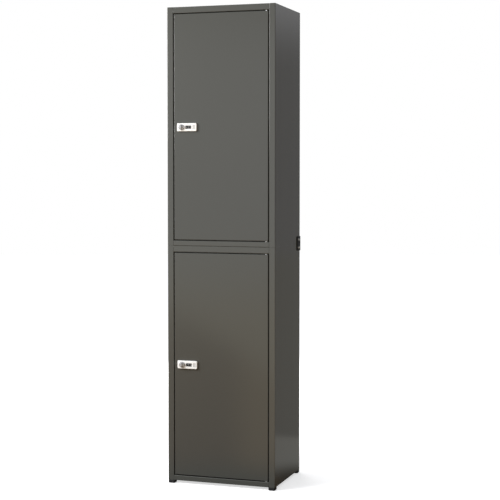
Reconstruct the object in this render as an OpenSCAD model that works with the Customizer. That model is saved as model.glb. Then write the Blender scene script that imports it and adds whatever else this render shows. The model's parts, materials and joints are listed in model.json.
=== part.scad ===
// Two-compartment parcel locker: two identical sheet-steel compartments, stacked and bolted,
// each with a flush door on hidden pivot pins and a number lock with a turning knob.
// +X is to the right, +Y to the back and +Z up. The origin is under the middle, on the floor.

/* [Cabinet] */
// Width over the side panels
body_w = 425; // [340:1:600]
// Depth from the door's face to the back
body_d = 325; // [240:1:600]
// Height of one compartment
compartment_h = 893.8; // [500:0.1:1100]
// Gap between the stacked compartments
stack_gap = 0.4; // [0.1:0.1:0.8]
// Thickness of the sheet steel
sheet_t = 1; // [0.8:0.1:1.5]
// Inside radius of every bend
bend_r = 1; // [0.5:0.1:1.5]

/* [Front frame] */
// Width of the upright stiles
stile_w = 23.5; // [20:0.5:40]
// Height of the rail over each door
top_rail_h = 23.3; // [20:0.1:60]
// Height of the rail under each door
bottom_rail_h = 19.3; // [16:0.1:60]
// Width of the lip that the door closes against
lip_w = 12; // [10:0.5:16]

/* [Panels] */
// Width of the flange at the back of each side panel
back_flange_w = 18; // [12:0.5:30]
// Height of the folded edges on the top and bottom panels
deck_edge_h = 10; // [6:0.5:11]
// Distance between the wall holes, across
wall_hole_across = 250; // [100:1:280]
// Distance between the wall holes, upwards
wall_hole_up = 650; // [300:1:700]
// Radius of a wall hole
wall_hole_r = 4.25; // [2:0.05:8]

/* [Door] */
// Thickness of the door
door_t = 18; // [15:0.5:24]
// Width of the edge folded in behind the door
door_lip_w = 12; // [8:0.5:14]
// Room that the door's hinge edge has as it swings
swing_clear = 0.6; // [0.4:0.1:2]
// Room between the swinging edge and the lip behind it
stop_clear = 3.1; // [1:0.1:6]
// Width of the raised part of the stiffening channel
channel_w = 90; // [40:1:120]
// Width of each foot of the stiffening channel
channel_foot_w = 14; // [8:0.5:24]
// Radius of a rubber buffer
buffer_r = 3.5; // [2.5:0.1:4.5]
// Distance of a buffer from the end of the door
buffer_from_end = 60; // [30:1:150]

/* [Hinge] */
// Radius of a hinge pin
pin_r = 3; // [2:0.1:3.5]
// Radius of the collar on a hinge pin
collar_r = 4; // [3.8:0.1:6]
// Height of the block that holds a hinge pin
block_h = 14; // [10:0.5:30]
// Wall thickness of a hinge bush
bush_wall = 1.8; // [1:0.1:2.5]
// Height of a bush above its flange
bush_h = 7; // [4:0.5:12]
// Thickness of the flange on a bush
bush_flange_t = 1; // [0.5:0.1:1.5]

/* [Lock] */
// Width of the lock plate
lock_w = 78; // [78:1:100]
// Height of the lock plate
lock_h = 30; // [29:0.5:50]
// How far the lock plate stands out from the door
lock_out = 8; // [6:0.5:9]
// Radius of the lock plate's corners
lock_corner_r = 4; // [1:0.5:8]
// Distance from the door's free edge to the lock plate
lock_from_edge = 14.5; // [13:0.5:30]
// Distance from the end of the plate to the knob's axis
knob_from_end = 18.5; // [18.5:0.5:20]
// Radius of the knob
knob_r = 11; // [9:0.5:13]
// Thickness of the knob's disc
knob_t = 5; // [3:0.5:8]
// Width of the grip across the knob
grip_w = 5; // [3:0.5:8]
// How far the grip stands out from the disc
grip_out = 6; // [3:0.5:10]
// Distance from the end of the plate to the middle of the number wheels
wheels_from_end = 45.7; // [45.5:0.1:48]
// Radius of a number wheel over its corners
wheel_r = 12; // [11.5:0.1:12.1]
// Width of a number wheel
wheel_w = 7.3; // [5:0.1:7.4]
// How far the wheels stand out from the lock plate
wheel_out = 0.7; // [0.3:0.1:1]
// Height of the window in front of the wheels
window_h = 11.7; // [10.5:0.1:14]
// Thickness of the cam
cam_t = 2.5; // [1.5:0.1:4]
// Width of the cam
cam_w = 15; // [13:0.5:17]
// Length of the cam from its axis
cam_l = 31.5; // [28:0.5:32]

/* [Feet and joining parts] */
// Height of a foot
foot_h = 12; // [8:0.5:30]
// Width of a foot
foot_w = 26; // [22:0.5:30]
// Radius of a foot's lower edges
foot_r = 3.5; // [1:0.5:6]
// Width of a joining plate
joiner_w = 41; // [34:0.5:60]
// Height of a joining plate
joiner_h = 56; // [48:0.5:80]
// Thickness of a joining plate
joiner_t = 3; // [1.5:0.5:5]
// Radius of the joining plate's front corners
joiner_r = 8; // [2:0.5:12]
// Distance from the cabinet's back to the joining screws
joiner_screw_from_back = 24; // [20:0.5:26]
// Distance between the two screws of a joining plate
joiner_screw_pitch = 31; // [31:0.5:38]

/* [Hidden] */
$fn = 48;

// Colours
paint = [0.32, 0.32, 0.31];
zinc = [0.72, 0.73, 0.75];
black = [0.07, 0.07, 0.07];
white = [0.93, 0.93, 0.92];
silver = [0.78, 0.78, 0.8];
nylon = [0.55, 0.55, 0.54];

// Clearances and small allowances
press_clear = 0.03;
running_clear = 0.05;
moving_clear = 0.3;
hole_clear = 0.3;
cut = 1;
bend_steps = 6;

// Cabinet
half_w = body_w / 2;
bend_out_r = bend_r + sheet_t;
bend_mid_r = bend_r + sheet_t / 2;
stile_in = half_w - stile_w;
lip_in = stile_in - lip_w;
top_sill_z = compartment_h - top_rail_h;
level_h = compartment_h + stack_gap;
seam_z = foot_h + compartment_h + stack_gap / 2;
panel_back_y = body_d - sheet_t;
panel_front_y = panel_back_y - sheet_t;
deck_in = half_w - sheet_t;

// Door, turning about a pin in the middle of its thickness
pivot_in = door_t / 2;
swing_reach = bend_out_r + sqrt(2) * (pivot_in - bend_out_r);
door_gap = swing_reach - pivot_in + swing_clear;
stop_y = pivot_in + swing_reach + stop_clear;
door_w = body_w - 2 * (stile_w + door_gap);
door_z = bottom_rail_h + door_gap;
door_h = top_sill_z - door_gap - door_z;
pivot_x = door_w / 2 - pivot_in;
channel_y = door_t - 2 * sheet_t;

// Buffers
buffer_x = -(lip_in + lip_w / 2);
buffer_heights = [door_z + buffer_from_end, door_z + door_h - buffer_from_end];
buffer_stem_r = 1.6;
buffer_bead_r = 2.6;
buffer_bead_t = 1.2;

// Hinge
bush_r = pin_r + bush_wall;
bush_flange_r = bush_r + 1;
pin_in_bush = bush_h - 1;
block_w = door_t - 2 * sheet_t;
collar_h = door_gap - bush_flange_t;

// Lock, with its places measured from the plate's end nearest the door's free edge
lock_x = -door_w / 2 + lock_from_edge;
lock_z = door_z + door_h / 2;
knob_x = lock_x + knob_from_end;
wheels_x = lock_x + wheels_from_end;
wheel_y = wheel_r - lock_out - wheel_out;
wheel_sides = 10;
wheel_count = 3;
wheel_gap = 0.6;
chamber_r = wheel_r + 0.4;
chamber_w = wheel_count * wheel_w + (wheel_count - 1) * wheel_gap + 2 * 0.4;
case_inset = 1.5;
case_wall = 1.8;
spring_t = 0.4;
spring_h = 9;
spring_pocket = 1.3;
case_back_y = wheel_y + wheel_r + spring_pocket + case_wall;
axle_r = 1.25;
axle_in_wall = 3;
knob_gap = 0.3;
knob_out = lock_out + knob_gap + knob_t + grip_out;
spindle_r = 5;
spindle_tail_r = 3;
spindle_square = 7;
spindle_in_knob = 3.5;
cam_y = stop_y + sheet_t + 1.2;
cam_hub_r = 8.6;
barrel_r = 8.6;
nut_t = 4;
nut_r = 5.8;
tail_past_nut = 1;
screw_r = 1.5;
screw_head_r = 2.8;
screw_head_t = 1.8;
screw_in_plate = 5;
left_screw_x = lock_x + 5.5;
right_screw_x = lock_x + lock_w - 9;

// Whole locker
front_y = (knob_out - body_d) / 2;
foot_in = foot_w / 2;
stem_r = 4;
stem_head_r = 5;
stem_head_h = 2.5;
m5_r = 2.5;
m5_head_r = 4.25;
m5_head_t = 3;
m5_nut_r = 4.6;
m5_nut_t = 4;
m5_past_nut = 1;
m6_r = 3;
m6_head_r = 5.77;
m6_head_t = 4;
m6_nut_t = 5;
m6_past_nut = 1;
bolt_in = 60;
lower_joiner_z = compartment_h + stack_gap / 2 - joiner_screw_pitch / 2;
upper_joiner_z = joiner_screw_pitch / 2 - stack_gap / 2;
recess_r = 1.9;
recess_depth = 1.8;

// Bent sheet: every bend is a right angle, and a path is the middle line of the sheet
function unit(v) = v / norm(v);
function left_of(v) = [-v[1], v[0]];
function turned(v, angle) =
    [v[0] * cos(angle) - v[1] * sin(angle), v[0] * sin(angle) + v[1] * cos(angle)];
function reversed(list) = [for (i = [len(list) - 1 : -1 : 0]) list[i]];
function bend_points(before, corner, after, off) =
    let (way_in = unit(corner - before))
    let (way_out = unit(after - corner))
    let (side = way_in[0] * way_out[1] - way_in[1] * way_out[0] > 0 ? 1 : -1)
    let (centre = corner + bend_mid_r * (side * left_of(way_in) - way_in))
    [for (step = [0 : bend_steps])
        centre - side * (bend_mid_r - side * off) * turned(left_of(way_in), side * 90 * step / bend_steps)];
function end_point(end, inner, off) = end + off * left_of(unit(inner - end));
function sheet_side(path, off) =
    let (last = len(path) - 1)
    concat(
        [end_point(path[0], path[1], off)],
        [for (i = [1 : last - 1]) each bend_points(path[i - 1], path[i], path[i + 1], off)],
        [end_point(path[last], path[last - 1], -off)]
    );
module sheet_section(path) {
    polygon(concat(sheet_side(path, sheet_t / 2), reversed(sheet_side(path, -sheet_t / 2))));
}

// Rectangle about the origin with rounded corners
function rounded_outline(w, h, r) =
    [for (quarter = [0 : 3])
        let (sx = quarter == 0 || quarter == 3 ? 1 : -1)
        let (sy = quarter < 2 ? 1 : -1)
        for (step = [0 : bend_steps])
            let (angle = 90 * (quarter + step / bend_steps))
            [sx * (w / 2 - r) + r * cos(angle), sy * (h / 2 - r) + r * sin(angle)]];

// Extrusions along X of a (y, z) outline, and along Y of an (x, z) outline
module along_x(from, to) {
    translate([from, 0, 0]) rotate([90, 0, 90]) linear_extrude(to - from) children();
}
module along_y(from, to) {
    translate([0, to, 0]) rotate([90, 0, 0]) linear_extrude(to - from) children();
}
module rod_x(from, to, y, z, r) {
    translate([from, y, z]) rotate([0, 90, 0]) cylinder(r = r, h = to - from);
}
module rod_y(from, to, x, z, r) {
    translate([x, from, z]) rotate([-90, 0, 0]) cylinder(r = r, h = to - from);
}
module rod_z(from, to, x, y, r) {
    translate([x, y, from]) cylinder(r = r, h = to - from);
}
module block(from, to) {
    translate(from) cube(to - from);
}

// Places: a compartment stands at each level, and the rest is placed from the cabinet's front
module at_level(level) {
    translate([0, front_y, foot_h + level * level_h]) children();
}
module in_cabinet() {
    translate([0, front_y, 0]) children();
}
module upside_down_door() {
    translate([0, 0, 2 * lock_z]) mirror([0, 0, 1]) children();
}

// Compartment shell
module side_section() {
    sheet_section([
        [lip_in, stop_y + sheet_t / 2],
        [stile_in + sheet_t / 2, stop_y + sheet_t / 2],
        [stile_in + sheet_t / 2, sheet_t / 2],
        [half_w - sheet_t / 2, sheet_t / 2],
        [half_w - sheet_t / 2, body_d - sheet_t / 2],
        [half_w - back_flange_w, body_d - sheet_t / 2]
    ]);
}
module deck_notch(z) {
    block([lip_in - cut, bend_out_r, z], [deck_in, stop_y + sheet_t + cut, z + sheet_t]);
}
module right_panel(joiner_hole_z) {
    difference() {
        linear_extrude(compartment_h) side_section();
        deck_notch(0);
        deck_notch(compartment_h - sheet_t);
        rod_x(deck_in - cut, half_w + cut, body_d - joiner_screw_from_back, joiner_hole_z, m5_r + hole_clear);
    }
}
module right_side(joiner_hole_z) {
    color(paint) right_panel(joiner_hole_z);
}
module left_side(joiner_hole_z) {
    color(paint) difference() {
        mirror([1, 0, 0]) right_panel(joiner_hole_z);
        for (z = buffer_heights)
            rod_y(stop_y - cut, stop_y + sheet_t + cut, buffer_x, z, buffer_stem_r + press_clear);
    }
}
module back_panel() {
    wide = deck_in - bend_r;
    color(paint) difference() {
        block([-wide, panel_front_y, 0], [wide, panel_back_y, compartment_h]);
        for (x = [-1, 1], z = [-1, 1])
            rod_y(panel_front_y - cut, panel_back_y + cut,
                x * wall_hole_across / 2, compartment_h / 2 + z * wall_hole_up / 2, wall_hole_r);
    }
}

// Top and bottom panels, drawn as a bottom panel and turned over for the top
module rail(rail_h) {
    sill = [
        [stop_y + 2 * bend_out_r, sheet_t / 2],
        [sheet_t / 2, sheet_t / 2],
        [sheet_t / 2, rail_h - sheet_t / 2],
        [stop_y + sheet_t / 2, rail_h - sheet_t / 2]
    ];
    along_x(-stile_in, stile_in) intersection() {
        sheet_section(sill);
        square([stop_y - bend_r, rail_h]);
    }
    along_x(-lip_in, lip_in)
        sheet_section(concat(sill, [[stop_y + sheet_t / 2, rail_h + lip_w - sheet_t / 2]]));
}
module deck(rail_h) {
    edge_y = body_d - back_flange_w - cut;
    difference() {
        union() {
            block([-deck_in, bend_out_r, 0], [deck_in, panel_front_y, sheet_t]);
            block([-deck_in + bend_r, panel_front_y - sheet_t, 0], [deck_in - bend_r, panel_front_y, deck_edge_h]);
            for (x = [-deck_in, deck_in - sheet_t])
                block([x, stop_y + lip_w, 0], [x + sheet_t, edge_y, deck_edge_h]);
            rail(rail_h);
        }
        rod_z(rail_h - sheet_t - cut, rail_h + cut, pivot_x, pivot_in, bush_r + press_clear);
        for (x = [-1, 1], y = [bolt_in, body_d - bolt_in])
            rod_z(-cut, sheet_t + cut, x * (half_w - bolt_in), y, m6_r + hole_clear);
    }
}
module top_panel() {
    color(paint) translate([0, 0, compartment_h]) mirror([0, 0, 1]) deck(top_rail_h);
}
module bottom_panel(has_feet) {
    color(paint) difference() {
        deck(bottom_rail_h);
        if (has_feet)
            for (x = [-1, 1], y = [foot_in, body_d - foot_in])
                rod_z(-cut, sheet_t + cut, x * (half_w - foot_in), y, stem_r + hole_clear);
    }
}

// Rubber buffers on the lip that the door's free edge closes against
module door_buffers() {
    lip_back_y = stop_y + sheet_t;
    color(black) for (z = buffer_heights) {
        rod_y(door_t + moving_clear, stop_y, buffer_x, z, buffer_r);
        rod_y(door_t + 2 * moving_clear, lip_back_y + buffer_bead_t, buffer_x, z, buffer_stem_r);
        rod_y(lip_back_y, lip_back_y + buffer_bead_t, buffer_x, z, buffer_bead_r);
    }
}

// Hinge, drawn at the bottom of the door and turned over for the top
module hinge_bush(sill_z) {
    difference() {
        union() {
            rod_z(sill_z, sill_z + bush_flange_t, pivot_x, pivot_in, bush_flange_r);
            rod_z(sill_z - bush_h, sill_z, pivot_x, pivot_in, bush_r);
        }
        rod_z(sill_z - bush_h - cut, sill_z + bush_flange_t + cut, pivot_x, pivot_in, pin_r + running_clear);
    }
}
module hinge_bushes() {
    color(nylon) {
        hinge_bush(bottom_rail_h);
        translate([0, 0, compartment_h]) mirror([0, 0, 1]) hinge_bush(top_rail_h);
    }
}
module hinge_pin() {
    rod_z(door_z - door_gap - pin_in_bush, door_z + sheet_t + block_h, pivot_x, pivot_in, pin_r);
    rod_z(door_z - collar_h, door_z, pivot_x, pivot_in, collar_r);
}
module hinge_pins() {
    color(zinc) {
        hinge_pin();
        upside_down_door() hinge_pin();
    }
}
module hinge_block() {
    low = door_z + sheet_t;
    difference() {
        intersection() {
            door_solid(sheet_t);
            block(
                [pivot_x - block_w / 2, sheet_t, low],
                [pivot_x + block_w / 2, sheet_t + block_w, low + block_h]
            );
        }
        rod_z(low - cut, low + block_h + cut, pivot_x, pivot_in, pin_r + press_clear);
    }
}
module hinge_blocks() {
    color(zinc) {
        hinge_block();
        upside_down_door() hinge_block();
    }
}

// Door
module door_solid(inset) {
    w = door_w - 2 * inset;
    t = door_t - 2 * inset;
    h = door_h - 2 * inset;
    r = bend_out_r - inset;
    translate([0, door_t / 2, door_z + door_h / 2]) intersection() {
        translate([0, 0, -h / 2]) linear_extrude(h) polygon(rounded_outline(w, t, r));
        along_x(-w / 2, w / 2) polygon(rounded_outline(t, h, r));
    }
}
module door_skin() {
    hole_w = door_w - 2 * door_lip_w;
    hole_h = door_h - 2 * door_lip_w;
    color(paint) difference() {
        door_solid(0);
        door_solid(sheet_t);
        translate([-hole_w / 2, door_t - sheet_t - cut, door_z + door_lip_w])
            cube([hole_w, sheet_t + 2 * cut, hole_h]);
        rod_z(door_z - cut, door_z + door_h + cut, pivot_x, pivot_in, pin_r + hole_clear);
        rod_y(-cut, sheet_t + cut, knob_x, lock_z, spindle_r + hole_clear);
        for (x = [left_screw_x, right_screw_x])
            rod_y(-cut, sheet_t + cut, x, lock_z, screw_r + hole_clear);
        block(
            [wheels_x - chamber_w / 2, -cut, lock_z - chamber_r],
            [wheels_x + chamber_w / 2, sheet_t + cut, lock_z + chamber_r]
        );
    }
}
module door_channel() {
    foot_x = channel_w / 2 + channel_foot_w;
    foot_y = 1.5 * sheet_t;
    color(paint) translate([0, 0, door_z + bend_out_r]) linear_extrude(door_h - 2 * bend_out_r) sheet_section([
        [-foot_x, foot_y],
        [-channel_w / 2, foot_y],
        [-channel_w / 2, channel_y],
        [channel_w / 2, channel_y],
        [channel_w / 2, foot_y],
        [foot_x, foot_y]
    ]);
}

// Lock
module wheel_chamber() {
    rod_x(wheels_x - chamber_w / 2, wheels_x + chamber_w / 2, wheel_y, lock_z, chamber_r);
}
module lock_plate() {
    middle = [lock_x + lock_w / 2, lock_z];
    window_y = -sqrt(pow(chamber_r, 2) - pow(window_h / 2, 2)) + wheel_y;
    color(white) difference() {
        along_y(-lock_out, 0) translate(middle) polygon(rounded_outline(lock_w, lock_h, lock_corner_r));
        wheel_chamber();
        block(
            [wheels_x - chamber_w / 2, -lock_out - cut, lock_z - window_h / 2],
            [wheels_x + chamber_w / 2, window_y, lock_z + window_h / 2]
        );
        rod_y(-lock_out - cut, cut, knob_x, lock_z, spindle_r + running_clear);
        for (x = [left_screw_x, right_screw_x])
            rod_y(-screw_in_plate, cut, x, lock_z, screw_r + press_clear);
    }
}
module lock_case() {
    case_low = [lock_x + case_inset, sheet_t, lock_z - lock_h / 2 + case_inset / 2];
    case_high = [lock_x + lock_w - case_inset, case_back_y, lock_z + lock_h / 2 - case_inset / 2];
    axle_end = wheels_x + chamber_w / 2 + axle_in_wall;
    color(black) difference() {
        union() {
            block(case_low, case_high);
            rod_y(case_back_y, cam_y - moving_clear, knob_x, lock_z, barrel_r);
        }
        wheel_chamber();
        block(
            [wheels_x - chamber_w / 2, wheel_y, lock_z - spring_h / 2],
            [wheels_x + chamber_w / 2, wheel_y + wheel_r + spring_pocket, lock_z + spring_h / 2]
        );
        rod_x(wheels_x - chamber_w / 2 - axle_in_wall, axle_end, wheel_y, lock_z, axle_r + press_clear);
        rod_y(0, cam_y, knob_x, lock_z, spindle_r + running_clear);
        for (x = [left_screw_x, right_screw_x])
            rod_y(0, case_back_y + cut, x, lock_z, screw_r + press_clear);
    }
}
module lock_screws() {
    color(zinc) for (x = [left_screw_x, right_screw_x]) difference() {
        union() {
            rod_y(-screw_in_plate, case_back_y, x, lock_z, screw_r);
            rod_y(case_back_y, case_back_y + screw_head_t, x, lock_z, screw_head_r);
        }
        translate([x, case_back_y + screw_head_t, lock_z]) cross_recess(screw_r, recess_depth / 2);
    }
}
module cross_recess(reach, depth) {
    for (wide = [[2 * reach, 2 * depth, reach / 2], [reach / 2, 2 * depth, 2 * reach]])
        cube(wide, center = true);
}
module wheel_axle() {
    reach = chamber_w / 2 + axle_in_wall;
    color(zinc) rod_x(wheels_x - reach, wheels_x + reach, wheel_y, lock_z, axle_r);
}
module click_spring() {
    back = wheel_y + wheel_r + spring_pocket;
    color(zinc) difference() {
        block(
            [wheels_x - chamber_w / 2, back - spring_t, lock_z - spring_h / 2],
            [wheels_x + chamber_w / 2, back, lock_z + spring_h / 2]
        );
        for (side = [-1, 1])
            translate([wheels_x + side * (wheel_w + wheel_gap) / 2, back - spring_t / 2, lock_z + spring_h / 4])
                cube([wheel_gap, 2 * spring_t, spring_h], center = true);
    }
}
module number_wheel(place) {
    from = wheels_x - wheel_w / 2 + (place - (wheel_count + 1) / 2) * (wheel_w + wheel_gap);
    flat_turn = 180 / wheel_sides;
    color(black) difference() {
        translate([from, wheel_y, lock_z]) rotate([0, 90, 0]) rotate([0, 0, flat_turn + 90])
            cylinder(r = wheel_r, h = wheel_w, $fn = wheel_sides);
        rod_x(from - cut, from + wheel_w + cut, wheel_y, lock_z, axle_r + running_clear);
    }
}
module knob() {
    disc_y = -lock_out - knob_gap - knob_t;
    color(silver) difference() {
        union() {
            rod_y(disc_y, disc_y + knob_t, knob_x, lock_z, knob_r);
            intersection() {
                rod_y(disc_y - grip_out, disc_y, knob_x, lock_z, knob_r - cut);
                block(
                    [knob_x - grip_w / 2, disc_y - grip_out, lock_z - knob_r],
                    [knob_x + grip_w / 2, disc_y, lock_z + knob_r]
                );
            }
        }
        rod_y(disc_y + knob_t - spindle_in_knob, disc_y + knob_t + cut, knob_x, lock_z, spindle_r + press_clear);
    }
}
module spindle() {
    square_y = cam_y + cam_t;
    color(zinc) {
        rod_y(-lock_out - knob_gap - spindle_in_knob, cam_y, knob_x, lock_z, spindle_r);
        translate([knob_x, cam_y + cam_t / 2, lock_z])
            cube([spindle_square, cam_t, spindle_square], center = true);
        rod_y(square_y, square_y + nut_t + tail_past_nut, knob_x, lock_z, spindle_tail_r);
    }
}
module cam() {
    hole = spindle_square + 2 * press_clear;
    color(zinc) along_y(cam_y, cam_y + cam_t) translate([knob_x, lock_z]) difference() {
        union() {
            circle(r = cam_hub_r);
            translate([-cam_w / 2, -cam_l]) square([cam_w, cam_l]);
        }
        square(hole, center = true);
    }
}
module cam_nut() {
    color(zinc) difference() {
        translate([knob_x, cam_y + cam_t, lock_z]) rotate([-90, 0, 0]) cylinder(r = nut_r, h = nut_t, $fn = 6);
        rod_y(cam_y, cam_y + cam_t + nut_t + cut, knob_x, lock_z, spindle_tail_r + press_clear);
    }
}

// Feet, pushed into holes in the lowest panel
module foot(side, y) {
    x = side * (half_w - foot_in);
    color(black) in_cabinet() translate([x, y, 0]) {
        intersection() {
            along_x(-foot_in, foot_in) translate([0, foot_h]) polygon(rounded_outline(foot_w, 2 * foot_h, foot_r));
            along_y(-foot_in, foot_in) translate([0, foot_h]) polygon(rounded_outline(foot_w, 2 * foot_h, foot_r));
            block([-foot_in, -foot_in, 0], [foot_in, foot_in, foot_h]);
        }
        rod_z(foot_h - cut, foot_h + sheet_t + stem_head_h, 0, 0, stem_r);
        rod_z(foot_h + sheet_t, foot_h + sheet_t + stem_head_h, 0, 0, stem_head_r);
    }
}

// Joining plates over the seam, with their screws and nuts
module joiner_outline() {
    intersection() {
        translate([joiner_w, 0]) polygon(rounded_outline(2 * joiner_w, joiner_h, joiner_r));
        translate([0, -joiner_h / 2]) square([joiner_w, joiner_h]);
    }
}
module right_joiner() {
    in_cabinet() difference() {
        translate([0, body_d - joiner_w - sheet_t, seam_z]) along_x(half_w, half_w + joiner_t) joiner_outline();
        for (z = [-1, 1])
            rod_x(half_w - cut, half_w + joiner_t + cut,
                body_d - joiner_screw_from_back, seam_z + z * joiner_screw_pitch / 2, m5_r + hole_clear);
    }
}
module right_joining_plate() {
    color(black) right_joiner();
}
module left_joining_plate() {
    color(black) mirror([1, 0, 0]) right_joiner();
}
module both_sides() {
    for (side = [0, 1])
        mirror([side, 0, 0]) for (z = [-1, 1])
            in_cabinet() translate([0, body_d - joiner_screw_from_back, seam_z + z * joiner_screw_pitch / 2])
                children();
}
module joining_screws() {
    head_x = half_w + joiner_t;
    tip_x = deck_in - m5_nut_t - m5_past_nut;
    color(silver) both_sides() difference() {
        union() {
            rod_x(tip_x, head_x, 0, 0, m5_r);
            rod_x(head_x, head_x + m5_head_t, 0, 0, m5_head_r);
        }
        translate([head_x + m5_head_t - recess_depth, 0, 0]) rotate([0, 90, 0])
            cylinder(r = recess_r, h = recess_depth + cut, $fn = 6);
    }
}
module joining_nuts() {
    color(zinc) both_sides() difference() {
        translate([deck_in - m5_nut_t, 0, 0]) rotate([0, 90, 0]) cylinder(r = m5_nut_r, h = m5_nut_t, $fn = 6);
        rod_x(deck_in - m5_nut_t - cut, deck_in + cut, 0, 0, m5_r + press_clear);
    }
}

// Bolts that hold the two compartments together
module at_bolts() {
    for (x = [-1, 1], y = [bolt_in, body_d - bolt_in])
        in_cabinet() translate([x * (half_w - bolt_in), y, seam_z]) children();
}
module stacking_bolts() {
    grip = stack_gap / 2 + sheet_t;
    color(zinc) at_bolts() {
        rod_z(-grip - m6_nut_t - m6_past_nut, grip, 0, 0, m6_r);
        translate([0, 0, grip]) cylinder(r = m6_head_r, h = m6_head_t, $fn = 6);
    }
}
module stacking_nuts() {
    grip = stack_gap / 2 + sheet_t;
    color(zinc) at_bolts() difference() {
        translate([0, 0, -grip - m6_nut_t]) cylinder(r = m6_head_r, h = m6_nut_t, $fn = 6);
        rod_z(-grip - m6_nut_t - cut, -grip + cut, 0, 0, m6_r + press_clear);
    }
}

at_level(0) left_side(lower_joiner_z);  // lower_left_side
at_level(0) right_side(lower_joiner_z);  // lower_right_side
at_level(0) back_panel();  // lower_back_panel
at_level(0) top_panel();  // lower_top_panel
at_level(0) bottom_panel(true);  // lower_bottom_panel
at_level(0) hinge_bushes();  // lower_hinge_bushes
at_level(0) door_buffers();  // lower_door_buffers
at_level(0) door_skin();  // lower_door_skin
at_level(0) door_channel();  // lower_door_channel
at_level(0) hinge_blocks();  // lower_hinge_blocks
at_level(0) hinge_pins();  // lower_hinge_pins
at_level(0) lock_plate();  // lower_lock_plate
at_level(0) lock_case();  // lower_lock_case
at_level(0) lock_screws();  // lower_lock_screws
at_level(0) wheel_axle();  // lower_wheel_axle
at_level(0) click_spring();  // lower_click_spring
at_level(0) number_wheel(1);  // lower_number_wheel_1
at_level(0) number_wheel(2);  // lower_number_wheel_2
at_level(0) number_wheel(3);  // lower_number_wheel_3
at_level(0) knob();  // lower_knob
at_level(0) spindle();  // lower_spindle
at_level(0) cam();  // lower_cam
at_level(0) cam_nut();  // lower_cam_nut
at_level(1) left_side(upper_joiner_z);  // upper_left_side
at_level(1) right_side(upper_joiner_z);  // upper_right_side
at_level(1) back_panel();  // upper_back_panel
at_level(1) top_panel();  // upper_top_panel
at_level(1) bottom_panel(false);  // upper_bottom_panel
at_level(1) hinge_bushes();  // upper_hinge_bushes
at_level(1) door_buffers();  // upper_door_buffers
at_level(1) door_skin();  // upper_door_skin
at_level(1) door_channel();  // upper_door_channel
at_level(1) hinge_blocks();  // upper_hinge_blocks
at_level(1) hinge_pins();  // upper_hinge_pins
at_level(1) lock_plate();  // upper_lock_plate
at_level(1) lock_case();  // upper_lock_case
at_level(1) lock_screws();  // upper_lock_screws
at_level(1) wheel_axle();  // upper_wheel_axle
at_level(1) click_spring();  // upper_click_spring
at_level(1) number_wheel(1);  // upper_number_wheel_1
at_level(1) number_wheel(2);  // upper_number_wheel_2
at_level(1) number_wheel(3);  // upper_number_wheel_3
at_level(1) knob();  // upper_knob
at_level(1) spindle();  // upper_spindle
at_level(1) cam();  // upper_cam
at_level(1) cam_nut();  // upper_cam_nut
foot(-1, foot_in);  // front_left_foot
foot(1, foot_in);  // front_right_foot
foot(-1, body_d - foot_in);  // rear_left_foot
foot(1, body_d - foot_in);  // rear_right_foot
left_joining_plate();
right_joining_plate();
joining_screws();
joining_nuts();
stacking_bolts();
stacking_nuts();
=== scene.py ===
import json
import math

import bpy
from bpy.props import FloatProperty, FloatVectorProperty, PointerProperty
from mathutils import Matrix, Vector


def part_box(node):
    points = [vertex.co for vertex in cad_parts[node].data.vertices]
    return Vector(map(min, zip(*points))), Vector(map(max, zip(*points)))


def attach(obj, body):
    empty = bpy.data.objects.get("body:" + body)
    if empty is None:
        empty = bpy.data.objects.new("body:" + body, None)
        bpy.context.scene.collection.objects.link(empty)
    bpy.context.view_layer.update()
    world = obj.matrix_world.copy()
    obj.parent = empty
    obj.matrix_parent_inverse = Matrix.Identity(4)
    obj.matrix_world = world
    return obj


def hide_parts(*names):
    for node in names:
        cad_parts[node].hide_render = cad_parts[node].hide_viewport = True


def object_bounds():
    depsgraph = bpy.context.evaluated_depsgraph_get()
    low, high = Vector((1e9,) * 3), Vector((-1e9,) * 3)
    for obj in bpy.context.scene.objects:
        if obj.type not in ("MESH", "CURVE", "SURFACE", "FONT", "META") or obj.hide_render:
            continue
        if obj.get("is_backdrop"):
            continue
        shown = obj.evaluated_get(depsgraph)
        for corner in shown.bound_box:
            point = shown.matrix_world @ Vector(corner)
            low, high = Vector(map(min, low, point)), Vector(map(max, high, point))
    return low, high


# Looks and setting of a two-compartment parcel locker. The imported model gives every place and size.
# The sheet metal and the parts inside the lock and hinges keep their shapes and get their finish here.
# The parts that people see and touch are modelled again, with rounded edges and finer detail.
# Lengths are in metres. +X is to the right, +Y to the back and +Z up.

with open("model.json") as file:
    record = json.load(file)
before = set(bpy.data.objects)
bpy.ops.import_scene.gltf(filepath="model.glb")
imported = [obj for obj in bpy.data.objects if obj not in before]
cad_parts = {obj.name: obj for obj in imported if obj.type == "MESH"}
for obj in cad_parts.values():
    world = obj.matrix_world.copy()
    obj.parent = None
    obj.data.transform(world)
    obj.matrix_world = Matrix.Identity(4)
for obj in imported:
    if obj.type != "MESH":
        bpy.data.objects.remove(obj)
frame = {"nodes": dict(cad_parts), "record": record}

bl_info = {
    "name": "Parcel locker",
    "version": (1, 0, 0),
    "blender": (4, 5, 0),
    "location": "View3D > Sidebar > Locker",
    "description": "Models and finishes a parcel locker of two stacked compartments",
    "category": "Add Mesh",
}

LEVELS = ("lower", "upper")
WHEELS = (1, 2, 3)
SIDES = (-1, 1)
DIGITS = 10

# A face looks along an axis when this much of its normal lies on the axis.
STRAIGHT = 0.99
SAME_LENGTH = 0.00001
# Angles between faces: sharper edges are rounded, and blunter ones are shaded smooth.
ROUNDED_FROM = math.radians(40)
SMOOTH_BELOW = math.radians(35)


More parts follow.
